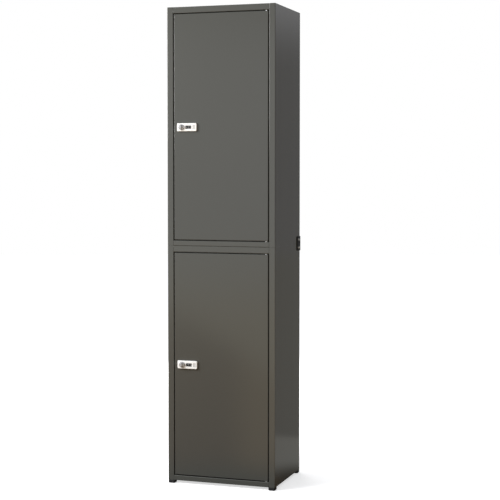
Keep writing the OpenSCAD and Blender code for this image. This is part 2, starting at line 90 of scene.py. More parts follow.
class LockerColours(bpy.types.PropertyGroup):
    """Colours of the locker's finishes."""
    cabinet_paint: FloatVectorProperty(
        name="Cabinet paint", description="Powder coat on the cabinets",
        subtype="COLOR", size=3, min=0, max=1, default=(0.083, 0.0854, 0.077))
    door_paint: FloatVectorProperty(
        name="Door paint", description="Powder coat on the doors",
        subtype="COLOR", size=3, min=0, max=1, default=(0.076, 0.0782, 0.0705))
    # Paler paint along every sharp edge: partly a thinner coat, partly a painted highlight.
    worn_paint: FloatVectorProperty(
        name="Thin paint", description="Powder coat where it pulls thin over an edge",
        subtype="COLOR", size=3, min=0, max=1, default=(0.13, 0.13, 0.125))
    lock_plate: FloatVectorProperty(
        name="Lock plate", description="Glossy plastic of the lock plates",
        subtype="COLOR", size=3, min=0, max=1, default=(0.94, 0.94, 0.93))
    label_field: FloatVectorProperty(
        name="Label field", description="Blank field at the end of a lock plate",
        subtype="COLOR", size=3, min=0, max=1, default=(0.6, 0.6, 0.59))
    wheels: FloatVectorProperty(
        name="Number wheels", description="Plastic of the number wheels",
        subtype="COLOR", size=3, min=0, max=1, default=(0.02, 0.02, 0.022))
    digits: FloatVectorProperty(
        name="Numbers", description="Ink of the numbers on the wheels",
        subtype="COLOR", size=3, min=0, max=1, default=(0.5, 0.5, 0.48))
    black: FloatVectorProperty(
        name="Black plastic", description="Feet and lock cases",
        subtype="COLOR", size=3, min=0, max=1, default=(0.018, 0.018, 0.019))
    joiner: FloatVectorProperty(
        name="Joining plates", description="Paint of the joining plates",
        subtype="COLOR", size=3, min=0, max=1, default=(0.008, 0.008, 0.008))
    chrome: FloatVectorProperty(
        name="Satin chrome", description="Plating on the knobs",
        subtype="COLOR", size=3, min=0, max=1, default=(0.5, 0.5, 0.51))
    zinc: FloatVectorProperty(
        name="Zinc", description="Plating on the screws, pins, nuts and cams",
        subtype="COLOR", size=3, min=0, max=1, default=(0.56, 0.58, 0.6))


class LockerSizes(bpy.types.PropertyGroup):
    """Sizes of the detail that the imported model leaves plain."""
    plate_corner: FloatProperty(
        name="Plate corner", description="Radius of the lock plate's corners",
        subtype="DISTANCE", unit="LENGTH", default=0.004)
    plate_edge: FloatProperty(
        name="Plate edge", description="Radius of the lock plate's front edge",
        subtype="DISTANCE", unit="LENGTH", default=0.0014)
    window_height: FloatProperty(
        name="Window height", description="Height of the window in front of the number wheels",
        subtype="DISTANCE", unit="LENGTH", default=0.0117)
    wheel_clearance: FloatProperty(
        name="Wheel clearance", description="Room around the number wheels",
        subtype="DISTANCE", unit="LENGTH", default=0.0004)
    grip_depth: FloatProperty(
        name="Grip depth", description="How far the grip stands out from the knob's disc",
        subtype="DISTANCE", unit="LENGTH", default=0.006)
    grip_width: FloatProperty(
        name="Grip width", description="Width of the grip at its root",
        subtype="DISTANCE", unit="LENGTH", default=0.017)
    peel: FloatProperty(
        name="Orange peel", description="Size of the ripples in the powder coat",
        subtype="DISTANCE", unit="LENGTH", default=0.0022)
    joiner_corner: FloatProperty(
        name="Joining plate corner", description="Radius of a joining plate's front corners",
        subtype="DISTANCE", unit="LENGTH", default=0.01)
    foot_edge: FloatProperty(
        name="Foot edge", description="Radius of a foot's lower edges",
        subtype="DISTANCE", unit="LENGTH", default=0.0035)
    stem_radius: FloatProperty(
        name="Foot stem", description="Radius of the stem that holds a foot",
        subtype="DISTANCE", unit="LENGTH", default=0.004)


class LockerSetting(bpy.types.PropertyGroup):
    """Camera, light and floor."""
    view_turn: FloatProperty(
        name="View turn", description="How far the camera stands round to the right",
        subtype="ANGLE", unit="ROTATION", default=math.radians(18.407))
    view_tilt: FloatProperty(
        name="View tilt", description="How far the camera looks down",
        subtype="ANGLE", unit="ROTATION", default=math.radians(2.715))
    view_distance: FloatProperty(
        name="View distance", description="Distance from the camera to the point it looks at",
        subtype="DISTANCE", unit="LENGTH", default=4.9943)
    aim_right: FloatProperty(
        name="Aim to the right", description="How far right of the middle the camera looks",
        subtype="DISTANCE", unit="LENGTH", default=0.0645)
    aim_up: FloatProperty(
        name="Aim above the middle", description="How far above the middle the camera looks",
        subtype="DISTANCE", unit="LENGTH", default=0.0431)
    lens: FloatProperty(
        name="Lens", description="Focal length of the camera, in millimetres on a 36 mm sensor",
        default=94.02)
    frame_shift: FloatProperty(
        name="Frame shift", description="Vertical shift of the camera's frame", default=-0.03)
    key_power: FloatProperty(
        name="Key light", description="Power of the large soft light in front on the left",
        unit="POWER", default=124.0)
    back_power: FloatProperty(
        name="Back light", description="Power of the soft light behind the locker",
        unit="POWER", default=45.0)
    room_light: FloatProperty(
        name="Bright side", description="Brightness of the room in front and to the left", default=0.95)
    room_dark: FloatProperty(
        name="Dark side", description="Brightness of the room behind and to the right", default=0.285)
    carpet_edge: FloatVectorProperty(
        name="Carpet edge", description="A point on the edge of the dark carpet in front",
        subtype="XYZ", unit="LENGTH", size=3, default=(-0.657, -2.807, 0))
    carpet_turn: FloatProperty(
        name="Carpet turn", description="Turn of the carpet's edge away from straight ahead",
        subtype="ANGLE", unit="ROTATION", default=math.radians(31.7))


def start_fresh():
    """Leaves edit mode and deselects everything, so that an operator acts on its own piece only."""
    if bpy.context.mode != "OBJECT":
        bpy.ops.object.mode_set(mode="OBJECT")
    bpy.ops.object.select_all(action="DESELECT")


def settle(name):
    """Names the active piece and puts its place, turn and scale into its mesh."""
    piece = bpy.context.object
    piece.name = name
    piece.data.name = name
    bpy.ops.object.transform_apply(location=True, rotation=True, scale=True)
    return piece


def add_block(name, low, high):
    """A box from one corner to the other."""
    start_fresh()
    bpy.ops.mesh.primitive_cube_add(size=1, location=(low + high) / 2, scale=high - low)
    return settle(name)


def add_rod(name, start, end, radius, sides=48):
    """A round bar, or one with a few flat sides, from start to end."""
    start_fresh()
    length = end - start
    turn = length.to_track_quat("Z", "Y").to_euler()
    bpy.ops.mesh.primitive_cylinder_add(
        vertices=sides, radius=radius, depth=length.length, location=(start + end) / 2, rotation=turn)
    return settle(name)


def choose(piece):
    """Makes a piece the only one that the next operators act on."""
    start_fresh()
    piece.select_set(True)
    bpy.context.view_layer.objects.active = piece


def clear_picks(piece, kind):
    """Sets whether faces or edges are picked in a piece, and leaves none selected."""
    choose(piece)
    bpy.ops.object.mode_set(mode="EDIT")
    bpy.ops.mesh.select_mode(type=kind)
    bpy.ops.mesh.select_all(action="DESELECT")
    bpy.ops.object.mode_set(mode="OBJECT")


def pick_faces(piece, wanted):
    """Selects the faces whose middle and normal pass the test, and leaves the piece in edit mode."""
    clear_picks(piece, "FACE")
    for face in piece.data.polygons:
        face.select = wanted(face.center, face.normal)
    bpy.ops.object.mode_set(mode="EDIT")


def pick_edges(piece, wanted):
    """Selects the edges whose two ends pass the test, and leaves the piece in edit mode."""
    clear_picks(piece, "EDGE")
    points = piece.data.vertices
    for edge in piece.data.edges:
        first, second = edge.vertices
        edge.select = wanted(points[first].co, points[second].co)
    bpy.ops.object.mode_set(mode="EDIT")


def near(value, other):
    """Whether two lengths are the same to a hundredth of a millimetre."""
    return abs(value - other) < SAME_LENGTH


def cut_away(piece, cutter):
    """Takes the cutter's shape out of the piece."""
    choose(piece)
    bpy.ops.object.modifier_add(type="BOOLEAN")
    modifier = piece.modifiers[-1]
    modifier.operation = "DIFFERENCE"
    modifier.solver = "EXACT"
    modifier.object = cutter
    bpy.ops.object.modifier_apply(modifier=modifier.name)
    bpy.data.objects.remove(cutter)


def round_edges(piece, radius, steps):
    """Rounds every sharp edge of the piece."""
    choose(piece)
    bpy.ops.object.modifier_add(type="BEVEL")
    modifier = piece.modifiers[-1]
    modifier.width = radius
    modifier.segments = steps
    modifier.limit_method = "ANGLE"
    modifier.angle_limit = ROUNDED_FROM
    bpy.ops.object.modifier_apply(modifier=modifier.name)


def join(piece, parts):
    """Makes the parts one piece with the first."""
    choose(piece)
    for part in parts:
        part.select_set(True)
    bpy.ops.object.join()


def copy_piece(piece, name, offset):
    """A copy with a mesh of its own, moved by the offset."""
    choose(piece)
    bpy.ops.object.duplicate(linked=False)
    bpy.context.object.location = offset
    return settle(name)


def finish_piece(piece, material, body, nodes):
    """Smooths a piece, gives it its material, ties it to the body, and hides the nodes it stands for."""
    choose(piece)
    bpy.ops.object.shade_smooth_by_angle(angle=SMOOTH_BELOW)
    if material is not None:
        piece.data.materials.clear()
        piece.data.materials.append(material)
    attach(piece, body)
    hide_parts(*nodes)


def new_group(name, inputs, outputs):
    """An empty shader node group with its sockets, and its first and last node."""
    group = bpy.data.node_groups.new(name, "ShaderNodeTree")
    for label, kind, value in inputs:
        socket = group.interface.new_socket(label, in_out="INPUT", socket_type=kind)
        socket.default_value = value
    for label, kind in outputs:
        group.interface.new_socket(label, in_out="OUTPUT", socket_type=kind)
    return group, group.nodes.new("NodeGroupInput"), group.nodes.new("NodeGroupOutput")


def noise(tree, scale, detail):
    """A noise texture on the object's own coordinates."""
    place = tree.nodes.new("ShaderNodeTexCoord")
    texture = tree.nodes.new("ShaderNodeTexNoise")
    texture.inputs["Scale"].default_value = scale
    texture.inputs["Detail"].default_value = detail
    tree.links.new(place.outputs["Object"], texture.inputs["Vector"])
    return texture


def remap(tree, source, span, ends=(0, 1)):
    """Goes smoothly from one end value to the other, and never past, as the source runs over a span."""
    node = tree.nodes.new("ShaderNodeMapRange")
    node.interpolation_type = "SMOOTHSTEP"
    for name, value in zip(("From Min", "From Max", "To Min", "To Max"), (*span, *ends)):
        node.inputs[name].default_value = value
    tree.links.new(source, node.inputs["Value"])
    return node.outputs["Result"]


def feed(tree, value, socket):
    """Links the value into the socket if it comes from a node, and sets it there if it is plain."""
    if isinstance(value, bpy.types.NodeSocket):
        tree.links.new(value, socket)
    else:
        socket.default_value = value


def calculate(tree, operation, first, second):
    """The result of a sum on two values, each a socket or a number."""
    node = tree.nodes.new("ShaderNodeMath")
    node.operation = operation
    feed(tree, first, node.inputs[0])
    feed(tree, second, node.inputs[1])
    return node.outputs["Value"]


def along(tree, place, direction):
    """How far a place lies along a direction, which is a socket or a plain vector."""
    dot = tree.nodes.new("ShaderNodeVectorMath")
    dot.operation = "DOT_PRODUCT"
    tree.links.new(place, dot.inputs[0])
    feed(tree, direction, dot.inputs[1])
    return dot.outputs["Value"]


def blend_colours(tree, share, first, second):
    """A mix of two colours, each a socket or a plain colour."""
    node = tree.nodes.new("ShaderNodeMix")
    node.data_type = "RGBA"
    tree.links.new(share, node.inputs["Factor"])
    sockets = [socket for socket in node.inputs if socket.type == "RGBA"]
    for socket, value in zip(sockets, (first, second)):
        plain = not isinstance(value, bpy.types.NodeSocket)
        feed(tree, (*value, 1) if plain else value, socket)
    return [socket for socket in node.outputs if socket.type == "RGBA"][0]


def place_group(tree, group, values):
    """Places a shared group in a material and sets its inputs."""
    node = tree.nodes.new("ShaderNodeGroup")
    node.node_tree = group
    for name, value in values.items():
        node.inputs[name].default_value = value
    return node


# Where the middle tones of a noise begin and end. Its values lie evenly about the halfway one.
CLOUD = (0.3, 0.7)
HALFWAY = 0.5
# How strongly fine specks, and the drift of tone, change the coat's brightness and gloss.
SPECK_STRENGTH = 0.12
DRIFT_IN_GLOSS = 0.6


def make_coat_group():
    """Powder coat: orange-peel ripples, and slow drifts of tone and gloss over a whole panel."""
    group, start, end = new_group(
        "Powder coat",
        [("Colour", "NodeSocketColor", (0.1, 0.1, 0.1, 1)), ("Ripple Size", "NodeSocketFloat", 0.002),
         ("Drift", "NodeSocketFloat", 0.06), ("Gloss", "NodeSocketFloat", 0.3)],
        [("Colour", "NodeSocketColor"), ("Roughness", "NodeSocketFloat"), ("Height", "NodeSocketFloat")])
    ripple = noise(group, scale=1, detail=2)
    group.links.new(calculate(group, "DIVIDE", 1, start.outputs["Ripple Size"]), ripple.inputs["Scale"])
    drift = noise(group, scale=2.6, detail=3)
    speck = noise(group, scale=900, detail=1)
    tone = calculate(group, "SUBTRACT", drift.outputs["Fac"], HALFWAY)
    tone = calculate(group, "MULTIPLY", tone, start.outputs["Drift"])
    grain = calculate(group, "SUBTRACT", speck.outputs["Fac"], HALFWAY)
    grain = calculate(group, "MULTIPLY", grain, SPECK_STRENGTH)
    bright = calculate(group, "ADD", calculate(group, "ADD", tone, grain), 1)
    shade = group.nodes.new("ShaderNodeVectorMath")
    shade.operation = "SCALE"
    group.links.new(start.outputs["Colour"], shade.inputs[0])
    group.links.new(bright, shade.inputs["Scale"])
    group.links.new(shade.outputs["Vector"], end.inputs["Colour"])
    drift_gloss = calculate(group, "MULTIPLY", tone, DRIFT_IN_GLOSS)
    rough = calculate(group, "ADD", start.outputs["Gloss"], drift_gloss)
    group.links.new(calculate(group, "ADD", rough, grain), end.inputs["Roughness"])
    group.links.new(ripple.outputs["Fac"], end.inputs["Height"])
    return group


# An edge shows where the rounded normal leaves the flat one by this much, and its wear and painted highlight
# come in patches.
EDGE_SPAN = (0.02, 0.25)
WEAR_AND_HIGHLIGHT_SPAN = (0.4, 0.62)
WEAR_AND_HIGHLIGHT_ENDS = (0.35, 1)


def make_edge_group():
    """Edges: a mask of wear and painted highlight that is strong along sharp edges, broken up, and a normal
    that rounds them.
    """
    group, start, end = new_group(
        "Rounded edge",
        [("Radius", "NodeSocketFloat", 0.0005), ("Wear And Highlight", "NodeSocketFloat", 0.5)],
        [("Mask", "NodeSocketFloat"), ("Normal", "NodeSocketVector")])
    bevel = group.nodes.new("ShaderNodeBevel")
    bevel.samples = 4
    group.links.new(start.outputs["Radius"], bevel.inputs["Radius"])
    surface = group.nodes.new("ShaderNodeNewGeometry")
    kept = along(group, bevel.outputs["Normal"], surface.outputs["True Normal"])
    turned = calculate(group, "SUBTRACT", 1, kept)
    patches = remap(group, noise(group, scale=45, detail=3).outputs["Fac"], WEAR_AND_HIGHLIGHT_SPAN, WEAR_AND_HIGHLIGHT_ENDS)
    # The edge mask carries both wear and a painted highlight.
    edge = calculate(group, "MULTIPLY", remap(group, turned, EDGE_SPAN), patches)
    group.links.new(calculate(group, "MULTIPLY", edge, start.outputs["Wear And Highlight"]), end.inputs["Mask"])
    group.links.new(bevel.outputs["Normal"], end.inputs["Normal"])
    return group


# Dust settles where a face looks up by this much, and thins out in patches.
UPWARD_SPAN = (0.5, 0.95)
DUST_ENDS = (0.4, 1)


def make_dust_group():
    """Settled dust: a patchy mask on faces that look up."""
    group, start, end = new_group(
        "Settled dust", [("Amount", "NodeSocketFloat", 0.1)], [("Mask", "NodeSocketFloat")])
    surface = group.nodes.new("ShaderNodeNewGeometry")
    split = group.nodes.new("ShaderNodeSeparateXYZ")
    group.links.new(surface.outputs["Normal"], split.inputs["Vector"])
    upward = remap(group, split.outputs["Z"], UPWARD_SPAN)
    patches = remap(group, noise(group, scale=14, detail=4).outputs["Fac"], CLOUD, DUST_ENDS)
    mask = calculate(group, "MULTIPLY", upward, patches)
    group.links.new(calculate(group, "MULTIPLY", mask, start.outputs["Amount"]), end.inputs["Mask"])
    return group


def new_material(name):
    """A material with its node tree and shader."""
    material = bpy.data.materials.new(name)
    material.use_nodes = True
    tree = material.node_tree
    return material, tree, tree.nodes["Principled BSDF"]


def bump(tree, height, distance, strength, normal):
    """The normal after bumps, fed by a height, on top of a normal that is rounded already."""
    node = tree.nodes.new("ShaderNodeBump")
    node.inputs["Distance"].default_value = distance
    node.inputs["Strength"].default_value = strength
    tree.links.new(height, node.inputs["Height"])
    tree.links.new(normal, node.inputs["Normal"])
    return node.outputs["Normal"]


DUST = (0.42, 0.4, 0.37)
HINGE_NYLON = (0.5, 0.49, 0.46)
SCREW_STEEL = (0.95, 0.95, 0.94)
# Plastic is paler along edges, partly from wear and partly as a painted highlight: this is added, and its
# colour takes this factor.
WORN_AND_HIGHLIGHT_LIFT = 0.08
WORN_AND_HIGHLIGHT_FACTOR = 1.15
# Parts of a metal's or an ink's colour in its dull patches and on its bright edges; the bright edges are
# partly wear and partly a painted highlight.
DULL_METAL = 0.72
WORN_AND_HIGHLIGHT_METAL = 1.3
RUBBED_INK = 0.7
RUB_SPAN = (0.35, 0.6)
# How far roughness strays over a surface, as parts of the roughness itself.
PLASTIC_SPREAD = (0.85, 1.2)
METAL_SPREAD = (1.3, 0.8)


def painted_steel(name, groups, paint, colours, sizes):
    """Semi-gloss powder coat on sheet steel, paler along edges with a thinner coat and a painted highlight.
    """
    material, tree, shader = new_material(name)
    coat = place_group(tree, groups["coat"], {
        "Colour": (*paint, 1), "Ripple Size": sizes.peel, "Drift": 0.05, "Gloss": 0.13})
    edge = place_group(tree, groups["edge"], {"Radius": 0.001, "Wear And Highlight": 0.16})
    dust = place_group(tree, groups["dust"], {"Amount": 0.08})
    # Paler edges: partly a thinner coat, partly a painted highlight.
    colour = blend_colours(tree, edge.outputs["Mask"], coat.outputs["Colour"], colours.worn_paint)
    colour = blend_colours(tree, dust.outputs["Mask"], colour, DUST)
    tree.links.new(colour, shader.inputs["Base Color"])
    roughness = calculate(tree, "ADD", coat.outputs["Roughness"], dust.outputs["Mask"])
    tree.links.new(roughness, shader.inputs["Roughness"])
    normal = bump(
        tree, coat.outputs["Height"], distance=0.000025, strength=0.4, normal=edge.outputs["Normal"])
    tree.links.new(normal, shader.inputs["Normal"])
    return material


def moulded_plastic(name, groups, colour, roughness, grain, grain_depth, shine=0.5):
    """Moulded plastic with a fine grain, softened edges, and paler edges that are partly handling wear and
    partly a painted highlight.
    """
    material, tree, shader = new_material(name)
    shader.inputs["Specular IOR Level"].default_value = shine
    edge = place_group(tree, groups["edge"], {"Radius": 0.0003, "Wear And Highlight": 0.25})
    # Paler edges: partly wear, partly a painted highlight.
    pale_wear_and_highlight = tuple(min(1, WORN_AND_HIGHLIGHT_LIFT + channel * WORN_AND_HIGHLIGHT_FACTOR) for channel in colour)
    marks = noise(tree, scale=60, detail=4)
    mixed = blend_colours(tree, edge.outputs["Mask"], colour, pale_wear_and_highlight)
    tree.links.new(mixed, shader.inputs["Base Color"])
    rough = remap(tree, marks.outputs["Fac"], CLOUD, [roughness * part for part in PLASTIC_SPREAD])
    tree.links.new(rough, shader.inputs["Roughness"])
    bumps = noise(tree, scale=1 / grain, detail=2)
    normal = bump(
        tree, bumps.outputs["Fac"], distance=grain_depth, strength=0.5, normal=edge.outputs["Normal"])
    tree.links.new(normal, shader.inputs["Normal"])
    return material


def plated_metal(name, groups, colour, roughness, grain_depth, metal=1.0):
    """Plated steel or zinc: a faintly cloudy metal with a very fine grain and brighter edges, partly wear and
    partly a painted highlight.
    """
    material, tree, shader = new_material(name)
    shader.inputs["Metallic"].default_value = metal
    edge = place_group(tree, groups["edge"], {"Radius": 0.0003, "Wear And Highlight": 0.4})
    cloud = noise(tree, scale=180, detail=4)
    dull = tuple(channel * DULL_METAL for channel in colour)
    mixed = blend_colours(tree, remap(tree, cloud.outputs["Fac"], CLOUD), dull, colour)
    # Brighter edges: partly wear, partly a painted highlight.
    bright = tuple(min(1, channel * WORN_AND_HIGHLIGHT_METAL) for channel in colour)
    mixed = blend_colours(tree, edge.outputs["Mask"], mixed, bright)
    tree.links.new(mixed, shader.inputs["Base Color"])
    rough = remap(tree, cloud.outputs["Fac"], CLOUD, [roughness * part for part in METAL_SPREAD])
    tree.links.new(rough, shader.inputs["Roughness"])
    bumps = noise(tree, scale=2400, detail=1)
    normal = bump(
        tree, bumps.outputs["Fac"], distance=grain_depth, strength=0.4, normal=edge.outputs["Normal"])
    tree.links.new(normal, shader.inputs["Normal"])
    return material


def printed_ink(name, colour):
    """Matt ink of the numbers, slightly rubbed."""
    material, tree, shader = new_material(name)
    rubbed = tuple(channel * RUBBED_INK for channel in colour)
    share = remap(tree, noise(tree, scale=700, detail=3).outputs["Fac"], RUB_SPAN)
    tree.links.new(blend_colours(tree, share, rubbed, colour), shader.inputs["Base Color"])
    shader.inputs["Roughness"].default_value = 0.5
    return material


MATERIALS = {}


def make_materials(colours, sizes):
    """Every finish of the locker, by the slot name that the record uses."""
    groups = {"coat": make_coat_group(), "edge": make_edge_group(), "dust": make_dust_group()}
    MATERIALS["cabinet_paint"] = painted_steel(
        "Cabinet powder coat", groups, colours.cabinet_paint, colours, sizes)
    MATERIALS["door_paint"] = painted_steel("Door powder coat", groups, colours.door_paint, colours, sizes)
    MATERIALS["joiner_paint"] = moulded_plastic(
        "Black joining plate paint", groups, colours.joiner,
        roughness=0.4, grain=0.0006, grain_depth=0.00003, shine=0.2)
    MATERIALS["white_plastic"] = moulded_plastic(
        "Lock plate plastic", groups, colours.lock_plate, roughness=0.22, grain=0.0009, grain_depth=0.00001)
    MATERIALS["label_field"] = moulded_plastic(
        "Label field plastic", groups, colours.label_field, roughness=0.5, grain=0.0004, grain_depth=0.00002)
    MATERIALS["black_plastic"] = moulded_plastic(
        "Lock case plastic", groups, colours.black, roughness=0.5, grain=0.0005, grain_depth=0.00004)
    MATERIALS["wheel_plastic"] = moulded_plastic(
        "Number wheel plastic", groups, colours.wheels,
        roughness=0.38, grain=0.0004, grain_depth=0.00001, shine=0.25)
    MATERIALS["foot_plastic"] = moulded_plastic(
        "Foot plastic", groups, colours.black, roughness=0.55, grain=0.0007, grain_depth=0.00005)
    MATERIALS["buffer_rubber"] = moulded_plastic(
        "Buffer rubber", groups, colours.black, roughness=0.75, grain=0.0006, grain_depth=0.00005)
    MATERIALS["nylon"] = moulded_plastic(
        "Hinge bush nylon", groups, HINGE_NYLON, roughness=0.42, grain=0.0007, grain_depth=0.00002)
    MATERIALS["satin_chrome"] = plated_metal(
        "Knob satin chrome", groups, colours.chrome, roughness=0.34, grain_depth=0.000004, metal=0.35)
    MATERIALS["zinc_steel"] = plated_metal(
        "Zinc plate", groups, colours.zinc, roughness=0.38, grain_depth=0.000006)
    MATERIALS["bright_steel"] = plated_metal(
        "Bright steel", groups, SCREW_STEEL, roughness=0.45, grain_depth=0.000003)
    MATERIALS["digit_ink"] = printed_ink("Number ink", colours.digits)


class LOCKER_OT_finishes(bpy.types.Operator):
    """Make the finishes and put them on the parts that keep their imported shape"""
    bl_idname = "locker.finishes"
    bl_label = "Finishes"

    def execute(self, context):
        scene = context.scene
        make_materials(scene.locker_colours, scene.locker_sizes)
        for part in frame["record"]["subparts"]:
            node = frame["nodes"][part["node"]]
            material = MATERIALS[part["material_slot"]]
            if not node.material_slots:
                raise RuntimeError(f"{part['node']} has no material slot")
            for slot in node.material_slots:
                slot.material = material
        return {"FINISHED"}


# Margins of a lock plate's label field: parts of the plate's height, and of its end beside the window.
FIELD_ABOVE = 0.24
FIELD_LEFT = 0.25
FIELD_RIGHT = 0.2


def model_lock_plate(level, sizes):
    """The lock plate: rounded corners and front edge, a window over the wheels, and a label field."""
    low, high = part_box(f"{level}_lock_plate")
    wheels_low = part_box(f"{level}_number_wheel_1")[0]
    wheels_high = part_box(f"{level}_number_wheel_3")[1]
    axle = (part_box(f"{level}_wheel_axle")[0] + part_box(f"{level}_wheel_axle")[1]) / 2
    middle = (low + high) / 2
    plate = add_block(f"{level}_lock_plate_cover", low, high)
    pick_edges(plate, lambda a, b: abs(a.y - b.y) > (high.y - low.y) / 2)
    bpy.ops.mesh.bevel(offset=sizes.plate_corner, segments=8, affect="EDGES")
    pick_edges(plate, lambda a, b: near(a.y, low.y) and near(b.y, low.y))
    bpy.ops.mesh.bevel(offset=sizes.plate_edge, segments=4, affect="EDGES")
    bpy.ops.object.mode_set(mode="OBJECT")
    left = wheels_low.x - sizes.wheel_clearance
    right = wheels_high.x + sizes.wheel_clearance
    reach = sizes.window_height / 2
    past = Vector((0, sizes.plate_edge, 0))
    window = add_block(
        "window_cutter",
        Vector((left, low.y, middle.z - reach)) - past, Vector((right, middle.y, middle.z + reach)))
    cut_away(plate, window)
    chamber_radius = (wheels_high.z - wheels_low.z) / 2 + 2 * sizes.wheel_clearance
    chamber = add_rod(
        "chamber_cutter", Vector((left, axle.y, axle.z)), Vector((right, axle.y, axle.z)),
        chamber_radius, sides=64)
    cut_away(plate, chamber)
    beside = high.x - right
    above = FIELD_ABOVE * (high.z - low.z)
    field_low = Vector((right + FIELD_LEFT * beside, low.y, low.z + above)) - past
    field_high = Vector((high.x - FIELD_RIGHT * beside, low.y + sizes.plate_edge / 3, high.z - above))
    cut_away(plate, add_block("field_cutter", field_low, field_high))
    finish_piece(plate, MATERIALS["white_plastic"], f"{level}_door", [f"{level}_lock_plate"])
    plate.data.materials.append(MATERIALS["label_field"])
    for face in plate.data.polygons:
        if near(face.center.y, field_high.y) and face.normal.y < -STRAIGHT:
            face.material_index = 1


class LOCKER_OT_lock_plates(bpy.types.Operator):
    """Model the two lock plates with their wheel windows"""
    bl_idname = "locker.lock_plates"
    bl_label = "Lock plates"

    def execute(self, context):
        for level in LEVELS:
            model_lock_plate(level, context.scene.locker_sizes)
        return {"FINISHED"}


# Details of a knob, as parts of its radius, and the size of the grip's end as parts of its root.
KNOB_RIM = 0.1
KNOB_BORDER = 0.03
KNOB_GROOVE = 0.04
KNOB_GROOVE_DEPTH = 0.02
GRIP_EDGE = 0.08
GRIP_TAPER = (0.18, 1, 0.86)


def model_knob(level, sizes):
    """The knob: a disc with a rounded rim and a tapered grip across it."""
    low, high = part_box(f"{level}_knob")
    middle = (low + high) / 2
    radius = (high.x - low.x) / 2
    disc_y = low.y + sizes.grip_depth
    knob = add_rod(
        f"{level}_turning_knob",
        Vector((middle.x, high.y, middle.z)), Vector((middle.x, disc_y, middle.z)), radius, sides=64)
    pick_edges(knob, lambda a, b: near(a.y, disc_y) and near(b.y, disc_y))
    bpy.ops.mesh.bevel(offset=radius * KNOB_RIM, segments=4, affect="EDGES")
    pick_faces(knob, lambda centre, normal: near(centre.y, disc_y) and normal.y < -STRAIGHT)
    bpy.ops.mesh.inset(thickness=radius * KNOB_BORDER)
    bpy.ops.mesh.inset(thickness=radius * KNOB_GROOVE, depth=-radius * KNOB_GROOVE_DEPTH)
    for side in SIDES:
        pick_faces(
            knob, lambda centre, normal: normal.y < -STRAIGHT and abs(centre.x - middle.x) < radius / 2)
        bpy.ops.mesh.bisect(
            plane_co=(middle.x + side * sizes.grip_width / 2, middle.y, middle.z), plane_no=(1, 0, 0))
    pick_faces(
        knob,
        lambda centre, normal: normal.y < -STRAIGHT and abs(centre.x - middle.x) < sizes.grip_width / 4
        and abs(centre.z - middle.z) < radius / 4)
    bpy.ops.mesh.extrude_region_move(TRANSFORM_OT_translate={"value": (0, -sizes.grip_depth, 0)})
    bpy.ops.transform.resize(value=GRIP_TAPER, center_override=(middle.x, low.y, middle.z))
    bpy.ops.object.mode_set(mode="OBJECT")
    pick_edges(knob, lambda a, b: near(a.y, low.y) and near(b.y, low.y))
    bpy.ops.mesh.bevel(offset=radius * GRIP_EDGE, segments=3, affect="EDGES")
    bpy.ops.object.mode_set(mode="OBJECT")
    finish_piece(knob, MATERIALS["satin_chrome"], f"{level}_latch", [f"{level}_knob"])


class LOCKER_OT_knobs(bpy.types.Operator):
    """Model the two turning knobs"""
    bl_idname = "locker.knobs"
    bl_label = "Knobs"

    def execute(self, context):
        for level in LEVELS:
            model_knob(level, context.scene.locker_sizes)
        return {"FINISHED"}


# Details of a number wheel, as parts of its radius, and how far a number stands out, as part of its height.
WHEEL_CORNER = 0.07
WHEEL_RIM = 0.16
WHEEL_DISH = 0.03
DIGIT_HEIGHT = 0.56
DIGIT_RELIEF = 0.02
# Radius of the wheel's bore as part of the axle's width: a little over a half, so that it runs free.
WHEEL_BORE = 0.52


def model_digit(digit, centre, flat, height):
    """One raised number on a flat of a wheel. The first stands at the front and the rest go round."""
    turn = digit * math.tau / DIGITS
    place = centre + Matrix.Rotation(turn, 3, "X") @ Vector((0, -flat, 0))
    start_fresh()
    bpy.ops.object.text_add(location=place, rotation=(math.pi / 2 + turn, 0, 0))
    text = bpy.context.object
    text.data.body = str(digit)
    text.data.size = height
    text.data.align_x = "CENTER"
    text.data.align_y = "CENTER"
    text.data.extrude = height * DIGIT_RELIEF
    text.data.resolution_u = 3
    text.data.materials.append(MATERIALS["digit_ink"])
    bpy.ops.object.convert(target="MESH")
    return settle("number")


def model_wheel(sizes):
    """A number wheel: ten flats with softened corners, dished sides, a bore, and its numbers."""
    low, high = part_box("lower_number_wheel_1")
    centre = (low + high) / 2
    radius = (high.z - low.z) / 2
    flat = radius * math.cos(math.pi / DIGITS)
    end = Vector(((high.x - low.x) / 2, 0, 0))
    wheel = add_rod("number_wheel", centre - end, centre + end, radius, sides=DIGITS)
    pick_faces(wheel, lambda middle, normal: True)
    bpy.ops.transform.rotate(value=wheel_twist(wheel, centre), orient_axis="X", center_override=centre)
    bpy.ops.object.mode_set(mode="OBJECT")
    pick_edges(wheel, lambda a, b: abs(a.x - b.x) > end.x)
    bpy.ops.mesh.bevel(offset=radius * WHEEL_CORNER, segments=2, affect="EDGES")
    pick_faces(wheel, lambda middle, normal: abs(normal.x) > STRAIGHT)
    bpy.ops.mesh.inset(thickness=radius * WHEEL_RIM, use_individual=True)
    bpy.ops.mesh.inset(thickness=radius * WHEEL_DISH, depth=-radius * WHEEL_DISH, use_individual=True)
    bpy.ops.object.mode_set(mode="OBJECT")
    axle_low, axle_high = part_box("lower_wheel_axle")
    bore_radius = (axle_high.z - axle_low.z) * WHEEL_BORE
    bore = add_rod("bore_cutter", centre - 2 * end, centre + 2 * end, bore_radius, sides=24)
    cut_away(wheel, bore)
    wheel.data.materials.append(MATERIALS["wheel_plastic"])
    digits = [model_digit(digit, centre, flat, radius * DIGIT_HEIGHT) for digit in range(DIGITS)]
    join(wheel, digits)
    return wheel


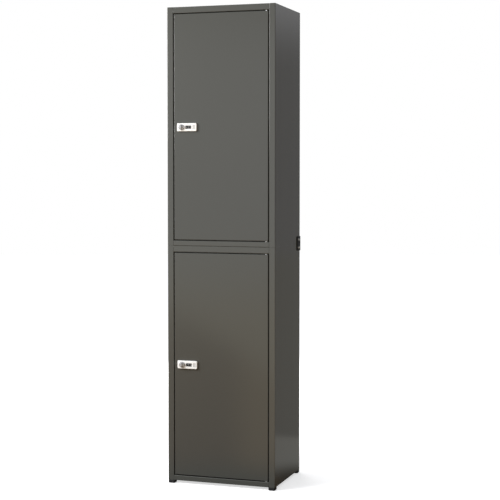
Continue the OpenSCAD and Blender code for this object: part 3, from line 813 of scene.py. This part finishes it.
def wheel_twist(wheel, centre):
    """The turn that brings a flat of the wheel to the front, from where its corners are."""
    corner = wheel.data.vertices[0].co - centre
    angle = math.atan2(corner.z, corner.y)
    flat = math.tau / DIGITS
    return flat / 2 - angle % flat


class LOCKER_OT_number_wheels(bpy.types.Operator):
    """Model one number wheel and copy it to the six places"""
    bl_idname = "locker.number_wheels"
    bl_label = "Number wheels"

    def execute(self, context):
        pattern = model_wheel(context.scene.locker_sizes)
        first_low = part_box("lower_number_wheel_1")[0]
        for level in LEVELS:
            for place in WHEELS:
                node = f"{level}_number_wheel_{place}"
                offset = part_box(node)[0] - first_low
                wheel = copy_piece(pattern, f"{level}_wheel_{place}_with_numbers", offset)
                finish_piece(wheel, None, f"{level}_wheel_{place}", [node])
        bpy.data.objects.remove(pattern)
        return {"FINISHED"}


def model_foot(node, sizes):
    """A moulded foot: rounded lower edges, a hollow underside, and the stem that holds it."""
    low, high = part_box(node)
    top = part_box("lower_bottom_panel")[0].z
    centre = (low + high) / 2
    foot = add_block(f"{node}_moulding", low, Vector((high.x, high.y, top)))
    pick_edges(foot, lambda a, b: near(min(a.z, b.z), low.z))
    bpy.ops.mesh.bevel(offset=sizes.foot_edge, segments=5, affect="EDGES")
    pick_faces(foot, lambda middle, normal: normal.z < -STRAIGHT)
    bpy.ops.mesh.inset(thickness=sizes.foot_edge / 2)
    bpy.ops.mesh.extrude_region_move(TRANSFORM_OT_translate={"value": (0, 0, (top - low.z) / 3)})
    bpy.ops.object.mode_set(mode="OBJECT")
    stem = add_rod(
        "stem", Vector((centre.x, centre.y, top - sizes.foot_edge / 2)), Vector((centre.x, centre.y, high.z)),
        sizes.stem_radius, sides=32)
    join(foot, [stem])
    finish_piece(foot, MATERIALS["foot_plastic"], "carcass", [node])


class LOCKER_OT_feet(bpy.types.Operator):
    """Model the four feet"""
    bl_idname = "locker.feet"
    bl_label = "Feet"

    def execute(self, context):
        for node in ("front_left_foot", "front_right_foot", "rear_left_foot", "rear_right_foot"):
            model_foot(node, context.scene.locker_sizes)
        return {"FINISHED"}


# A joining plate's hole, as part of the screw head's width, and its soft edges, as part of its thickness.
SCREW_HOLE = 0.32
PLATE_SOFTNESS = 0.18
# Details of a joining screw, as parts of its head's height or radius.
SCREW_DOME = 0.7
SOCKET_DEPTH = 0.55
SOCKET_RADIUS = 0.45
SHANK_RADIUS = 0.58


def screw_places():
    """The middles of the four joining-screw heads, with the side that each one is on."""
    low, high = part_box("joining_screws")
    radius = (high.y - low.y) / 2
    middle_y = (low.y + high.y) / 2
    heights = (low.z + radius, high.z - radius)
    return [(side, middle_y, height) for side in SIDES for height in heights]


def model_joining_plate(side, node, sizes):
    """A joining plate: two rounded corners, soft edges and two screw holes."""
    low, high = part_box(node)
    plate = add_block(f"{node}_steel", low, high)
    pick_edges(plate, lambda a, b: near(a.y, low.y) and near(b.y, low.y) and near(a.z, b.z))
    bpy.ops.mesh.bevel(offset=sizes.joiner_corner, segments=8, affect="EDGES")
    bpy.ops.object.mode_set(mode="OBJECT")
    screw_low, screw_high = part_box("joining_screws")
    hole_radius = (screw_high.y - screw_low.y) * SCREW_HOLE
    for place_side, y, z in screw_places():
        if place_side == side:
            reach = Vector((high.x - low.x, 0, 0))
            centre = Vector(((low.x + high.x) / 2, y, z))
            hole = add_rod("hole_cutter", centre - reach, centre + reach, hole_radius, sides=32)
            cut_away(plate, hole)
    round_edges(plate, (high.x - low.x) * PLATE_SOFTNESS, steps=3)
    finish_piece(plate, MATERIALS["joiner_paint"], "carcass", [node])


class LOCKER_OT_joining_plates(bpy.types.Operator):
    """Model the plates that tie the two compartments together at the sides"""
    bl_idname = "locker.joining_plates"
    bl_label = "Joining plates"

    def execute(self, context):
        sizes = context.scene.locker_sizes
        model_joining_plate(-1, "left_joining_plate", sizes)
        model_joining_plate(1, "right_joining_plate", sizes)
        return {"FINISHED"}


def model_joining_screw(side, y, z):
    """A domed screw with a six-sided socket, pointing into the cabinet."""
    low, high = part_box("joining_screws")
    plate_low, plate_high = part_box("right_joining_plate")
    radius = (high.y - low.y) / 2
    outer = side * high.x
    under = side * plate_high.x
    inner = side * (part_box("joining_nuts")[1].x - 2 * (plate_high.x - plate_low.x))
    head = add_rod("head", Vector((under, y, z)), Vector((outer, y, z)), radius)
    pick_edges(head, lambda a, b: near(a.x, outer) and near(b.x, outer))
    bpy.ops.mesh.bevel(offset=abs(outer - under) * SCREW_DOME, segments=6, affect="EDGES")
    bpy.ops.object.mode_set(mode="OBJECT")
    socket = add_rod(
        "socket_cutter", Vector((outer - (outer - under) * SOCKET_DEPTH, y, z)),
        Vector((outer + side * radius, y, z)), radius * SOCKET_RADIUS, sides=6)
    cut_away(head, socket)
    shank = add_rod(
        "shank", Vector((inner, y, z)), Vector((under, y, z)), radius * SHANK_RADIUS, sides=24)
    join(head, [shank])
    return head


class LOCKER_OT_joining_screws(bpy.types.Operator):
    """Model the four screws of the joining plates"""
    bl_idname = "locker.joining_screws"
    bl_label = "Joining screws"

    def execute(self, context):
        screws = [model_joining_screw(side, y, z) for side, y, z in screw_places()]
        join(screws[0], screws[1:])
        screws[0].name = "joining_screws_domed"
        finish_piece(screws[0], MATERIALS["bright_steel"], "carcass", ["joining_screws"])
        return {"FINISHED"}


# The floor that the locker mirrors: its colours, and where along an axis each one begins and ends.
DARK_CARPET = (0.22, 0.075, 0.0)
PALE_CARPET = (0.66, 0.42, 0.2)
PALE_CARPET_SIDE = (0.947, -0.322, 0)
PALE_CARPET_SPAN = (0.04, 0.2)
BARE_FLOOR = (1.0, 0.85, 0.62)
BARE_FLOOR_BLEND = 0.1
FAR_FLOOR = (0.95, 0.95, 0.93)
FAR_FLOOR_SPAN = (-11, -5)
FLOOR_BEHIND = (0.36, 0.36, 0.34)
FAR_BEHIND = (0.22, 0.22, 0.21)
FAR_BEHIND_SPAN = (0.76, 0.88)
FRONT_TO_BACK = (-0.1, 0.1)
SOFT_GLOW = (0.38, 0.26, 0.12)
CONTACT_SHADE = (0.05, 0.04, 0.03)
SHADE_SPAN = (0.2, 0.5)
FRONT_SHADE_SPAN = (0.2, 0.8)
FRONT_SHADE_SIDE = (-0.15, 0)


def floor_in_front(tree, place, backward, setting):
    """The floor in front: a dark carpet, paler on the right, then tan, and nearly white far off."""
    pile = remap(tree, along(tree, place, PALE_CARPET_SIDE), PALE_CARPET_SPAN)
    carpet = blend_colours(tree, pile, DARK_CARPET, PALE_CARPET)
    to_bare = Vector((math.cos(setting.carpet_turn), -math.sin(setting.carpet_turn), 0))
    edge = to_bare.dot(setting.carpet_edge)
    bare = remap(tree, along(tree, place, to_bare), (edge, edge + BARE_FLOOR_BLEND))
    near_floor = blend_colours(tree, bare, carpet, BARE_FLOOR)
    far = remap(tree, backward, FAR_FLOOR_SPAN, (1, 0))
    return blend_colours(tree, far, near_floor, FAR_FLOOR)


def contact_shade(tree, place, backward):
    """How strongly the floor lies in the locker's shade, which reaches further out in front."""
    length = tree.nodes.new("ShaderNodeVectorMath")
    length.operation = "LENGTH"
    tree.links.new(place, length.inputs[0])
    distance = length.outputs["Value"]
    in_front = remap(tree, backward, FRONT_SHADE_SIDE, (1, 0))
    further = calculate(tree, "MULTIPLY", remap(tree, distance, FRONT_SHADE_SPAN, (1, 0)), in_front)
    return calculate(tree, "MAXIMUM", remap(tree, distance, SHADE_SPAN, (1, 0)), further)


def unseen_floor(tree, setting):
    """The floor that the locker mirrors. On matt surfaces it throws an even warm glow."""
    place = tree.nodes.new("ShaderNodeTexCoord").outputs["Object"]
    split = tree.nodes.new("ShaderNodeSeparateXYZ")
    tree.links.new(place, split.inputs["Vector"])
    backward = split.outputs["Y"]
    front = floor_in_front(tree, place, backward, setting)
    behind = blend_colours(tree, remap(tree, backward, FAR_BEHIND_SPAN), FLOOR_BEHIND, FAR_BEHIND)
    whole = blend_colours(tree, remap(tree, backward, FRONT_TO_BACK), front, behind)
    soft_ray = tree.nodes.new("ShaderNodeLightPath").outputs["Is Diffuse Ray"]
    whole = blend_colours(tree, soft_ray, whole, SOFT_GLOW)
    whole = blend_colours(tree, contact_shade(tree, place, backward), whole, CONTACT_SHADE)
    glow = tree.nodes.new("ShaderNodeEmission")
    tree.links.new(whole, glow.inputs["Color"])
    return glow.outputs["Emission"]


def show_by_ray(tree, mirrored, seen, end):
    """Shows one shader to the camera, and the other in mirrors and as light."""
    path = tree.nodes.new("ShaderNodeLightPath")
    mix = tree.nodes.new("ShaderNodeMixShader")
    tree.links.new(path.outputs["Is Camera Ray"], mix.inputs["Fac"])
    tree.links.new(mirrored, mix.inputs[1])
    tree.links.new(seen, mix.inputs[2])
    tree.links.new(mix.outputs["Shader"], end.inputs["Surface"])


FLOOR_RADIUS = 14
FLOOR_COLOUR = (0.9, 0.9, 0.9, 1)
FLOOR_GLOW = 0.62
FLOOR_ROUGHNESS = 0.9
WHITE = (1, 1, 1, 1)


def make_floor(bottom, setting):
    """A wide pale floor for the camera. The locker mirrors a warmer, darker one."""
    start_fresh()
    bpy.ops.mesh.primitive_circle_add(
        vertices=96, radius=FLOOR_RADIUS, fill_type="NGON", location=(0, 0, bottom))
    floor = settle("studio_floor")
    material, tree, shader = new_material("Pale studio floor")
    shader.inputs["Base Color"].default_value = FLOOR_COLOUR
    shader.inputs["Roughness"].default_value = FLOOR_ROUGHNESS
    shader.inputs["Specular IOR Level"].default_value = 0.0
    shader.inputs["Emission Color"].default_value = WHITE
    shader.inputs["Emission Strength"].default_value = FLOOR_GLOW
    show_by_ray(tree, unseen_floor(tree, setting), shader.outputs["BSDF"], tree.nodes["Material Output"])
    floor.data.materials.append(material)
    floor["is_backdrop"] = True


# The room that the locker mirrors: brightness, and where along an axis each change begins and ends.
ROOM_TINT = (0.79, 0.8, 0.835, 1)
BRIGHT_SIDE = (-0.85, -0.53, 0)
BRIGHT_SIDE_SPAN = (-0.35, 0.6)
WALL_LIGHT = 0.65
WALL_BOTTOM = (0.08, 0.16)
WALL_SIDE = (0.85, 0.95)
FRONT_SIDE = (-0.9, -0.8)
DOORWAY_LIGHT = 0.45
DOORWAY_EDGE = (-0.4, -0.25)
BEAM_SHADE = 0.75
BEAM_BOTTOM = (0.11, 0.122)
BEAM_TOP = (0.18, 0.26)


def room_strength(tree, setting):
    """Brightness of the room: a bright left side, a wall behind, and a doorway and a beam in front."""
    place = tree.nodes.new("ShaderNodeTexCoord").outputs["Generated"]
    split = tree.nodes.new("ShaderNodeSeparateXYZ")
    tree.links.new(place, split.inputs["Vector"])
    right, backward, upward = (split.outputs[axis] for axis in "XYZ")
    in_front = remap(tree, backward, FRONT_SIDE, (1, 0))
    sides = remap(
        tree, along(tree, place, BRIGHT_SIDE), BRIGHT_SIDE_SPAN, (setting.room_dark, setting.room_light))
    wall = calculate(
        tree, "MULTIPLY", remap(tree, upward, WALL_BOTTOM, (0, WALL_LIGHT)), remap(tree, backward, WALL_SIDE))
    doorway = calculate(tree, "MULTIPLY", remap(tree, right, DOORWAY_EDGE, (0, DOORWAY_LIGHT)), in_front)
    beam = calculate(
        tree, "MULTIPLY", remap(tree, upward, BEAM_BOTTOM, (0, BEAM_SHADE)),
        remap(tree, upward, BEAM_TOP, (1, 0)))
    strength = calculate(tree, "ADD", sides, doorway)
    strength = calculate(tree, "SUBTRACT", strength, calculate(tree, "MULTIPLY", beam, in_front))
    return calculate(tree, "ADD", strength, wall)


def make_world(setting):
    """White for the camera, and a room for everything else."""
    world = bpy.data.worlds.new("Studio")
    world.use_nodes = True
    tree = world.node_tree
    backdrop = tree.nodes["Background"]
    backdrop.inputs["Color"].default_value = WHITE
    room = tree.nodes.new("ShaderNodeBackground")
    room.inputs["Color"].default_value = ROOM_TINT
    tree.links.new(room_strength(tree, setting), room.inputs["Strength"])
    show_by_ray(tree, room.outputs["Background"], backdrop.outputs["Background"], tree.nodes["World Output"])
    bpy.context.scene.world = world


def add_area_light(name, place, target, size, power):
    """A square soft light at a place, turned to a target."""
    start_fresh()
    turn = (target - place).to_track_quat("-Z", "Y").to_euler()
    bpy.ops.object.light_add(type="AREA", location=place, rotation=turn)
    light = bpy.context.object
    light.name = name
    light.data.shape = "SQUARE"
    light.data.size = size
    light.data.energy = power
    return light


# In millimetres, as a camera's sensor and lens are given.
SENSOR_WIDTH = 36


def add_camera(middle, setting):
    """The camera, turned to the right of the front and looking slightly down."""
    aim = middle + Vector((setting.aim_right, 0, setting.aim_up))
    level = math.cos(setting.view_tilt)
    forward = Vector((
        -math.sin(setting.view_turn) * level, math.cos(setting.view_turn) * level,
        -math.sin(setting.view_tilt)))
    place = Vector((aim.x, 0, aim.z)) - forward * setting.view_distance
    turn = (math.pi / 2 - setting.view_tilt, 0, setting.view_turn)
    start_fresh()
    bpy.ops.object.camera_add(location=place, rotation=turn)
    camera = bpy.context.object
    camera.name = "view_camera"
    camera.data.lens = setting.lens
    camera.data.sensor_width = SENSOR_WIDTH
    camera.data.shift_y = setting.frame_shift
    bpy.context.scene.camera = camera


# Places of the two lights from the middle of the locker, and their sizes.
KEY_PLACE = Vector((-2.4, -2.2, 1.3))
KEY_SIZE = 1.8
BACK_PLACE = Vector((-1.6, 2.7, 0.4))
BACK_SIZE = 1.7


class LOCKER_OT_stage(bpy.types.Operator):
    """Set the floor, the room, the two soft lights and the camera"""
    bl_idname = "locker.stage"
    bl_label = "Stage"

    def execute(self, context):
        scene = context.scene
        setting = scene.locker_setting
        low, high = (Vector(corner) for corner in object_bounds())
        middle = (low + high) / 2
        make_world(setting)
        make_floor(low.z, setting)
        add_area_light("key_light", middle + KEY_PLACE, middle, KEY_SIZE, setting.key_power)
        back_light = add_area_light("back_light", middle + BACK_PLACE, middle, BACK_SIZE, setting.back_power)
        back_light.visible_glossy = False
        add_camera(middle, setting)
        scene.view_settings.view_transform = "Standard"
        return {"FINISHED"}


class LOCKER_PT_panel(bpy.types.Panel):
    """The locker's steps, sizes and colours"""
    bl_idname = "LOCKER_PT_panel"
    bl_label = "Parcel locker"
    bl_space_type = "VIEW_3D"
    bl_region_type = "UI"
    bl_category = "Locker"

    def draw(self, context):
        for step in STEPS:
            self.layout.operator(step.bl_idname)
        for group in (context.scene.locker_colours, context.scene.locker_sizes, context.scene.locker_setting):
            for name in group.bl_rna.properties.keys():
                if name not in ("rna_type", "name"):
                    self.layout.prop(group, name)


GROUPS = (LockerColours, LockerSizes, LockerSetting)
STEPS = (
    LOCKER_OT_finishes, LOCKER_OT_lock_plates, LOCKER_OT_knobs, LOCKER_OT_number_wheels, LOCKER_OT_feet,
    LOCKER_OT_joining_plates, LOCKER_OT_joining_screws, LOCKER_OT_stage)


def register():
    for group in GROUPS + STEPS + (LOCKER_PT_panel,):
        bpy.utils.register_class(group)
    bpy.types.Scene.locker_colours = PointerProperty(type=LockerColours)
    bpy.types.Scene.locker_sizes = PointerProperty(type=LockerSizes)
    bpy.types.Scene.locker_setting = PointerProperty(type=LockerSetting)


def unregister():
    del bpy.types.Scene.locker_setting
    del bpy.types.Scene.locker_sizes
    del bpy.types.Scene.locker_colours
    for group in reversed(GROUPS + STEPS + (LOCKER_PT_panel,)):
        bpy.utils.unregister_class(group)


def main():
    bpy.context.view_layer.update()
    register()
    bpy.ops.locker.finishes()
    bpy.ops.locker.lock_plates()
    bpy.ops.locker.knobs()
    bpy.ops.locker.number_wheels()
    bpy.ops.locker.feet()
    bpy.ops.locker.joining_plates()
    bpy.ops.locker.joining_screws()
    bpy.ops.locker.stage()


if __name__ == "__main__":
    main()
